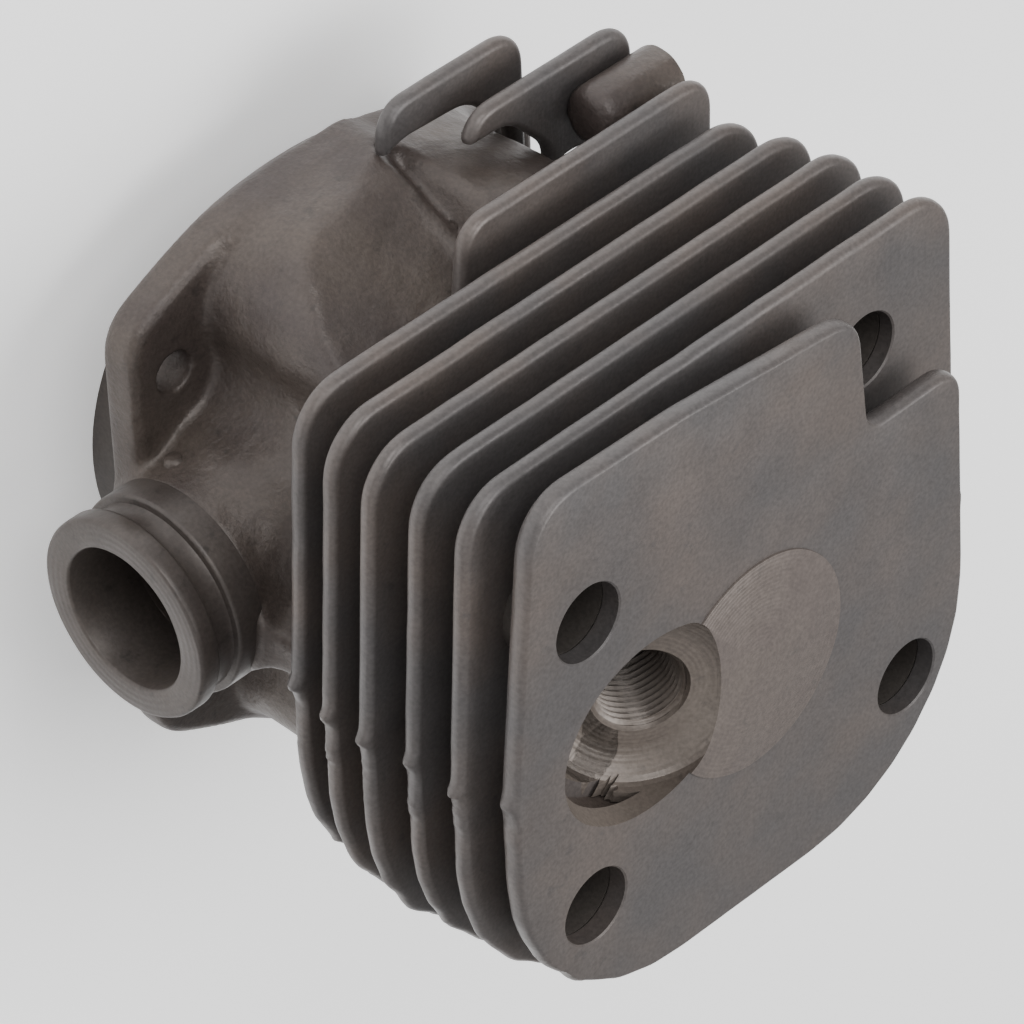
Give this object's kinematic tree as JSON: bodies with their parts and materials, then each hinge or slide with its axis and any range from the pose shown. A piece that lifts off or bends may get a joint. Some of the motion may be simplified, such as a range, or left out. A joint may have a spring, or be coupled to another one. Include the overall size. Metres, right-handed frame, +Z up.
{
  "type": "two-stroke engine cylinder with integral head",
  "caption": "Air-cooled finned cylinder and head cast in one, with a leaning spark plug seat, an intake spigot, transfer ducts, an exhaust face and a base flange.",
  "frame": {"origin": "bore axis at the gasket face of the base flange", "axes": "+Z up the bore axis towards the head, +X towards the exhaust side and -X towards the intake side, +Y across the crankshaft-side halves to the side with the cut corner of the top fin"},
  "size_m": [0.108, 0.1148, 0.1019],
  "materials": {
    "cast_skin": "as cast",
    "fin_skin": "as cast",
    "machined": "machined"
  },
  "bodies": {
    "root": {"cylinder_barrel": "cast_skin", "skirt": "machined", "combustion_dome": "cast_skin", "plug_boss": "machined", "crown_pad": "machined", "fin_1": "fin_skin", "fin_2": "fin_skin", "fin_3": "fin_skin", "fin_4": "fin_skin", "fin_5": "fin_skin", "fin_6": "fin_skin", "fin_7": "fin_skin", "fin_8": "fin_skin", "fin_9": "fin_skin", "base_flange": "cast_skin", "intake_spigot": "machined", "intake_duct": "cast_skin", "intake_web": "cast_skin", "casting_peg": "cast_skin", "transfer_duct_intake_left": "cast_skin", "transfer_duct_intake_right": "cast_skin", "transfer_duct_exhaust_left": "cast_skin", "transfer_duct_exhaust_right": "cast_skin", "exhaust_duct": "cast_skin", "exhaust_flange": "machined", "muffler_boss_left": "cast_skin", "muffler_boss_right": "cast_skin", "screw_column_1": "cast_skin", "screw_column_2": "cast_skin", "screw_column_3": "cast_skin", "screw_column_4": "cast_skin"}
  },
  "joints": []
}
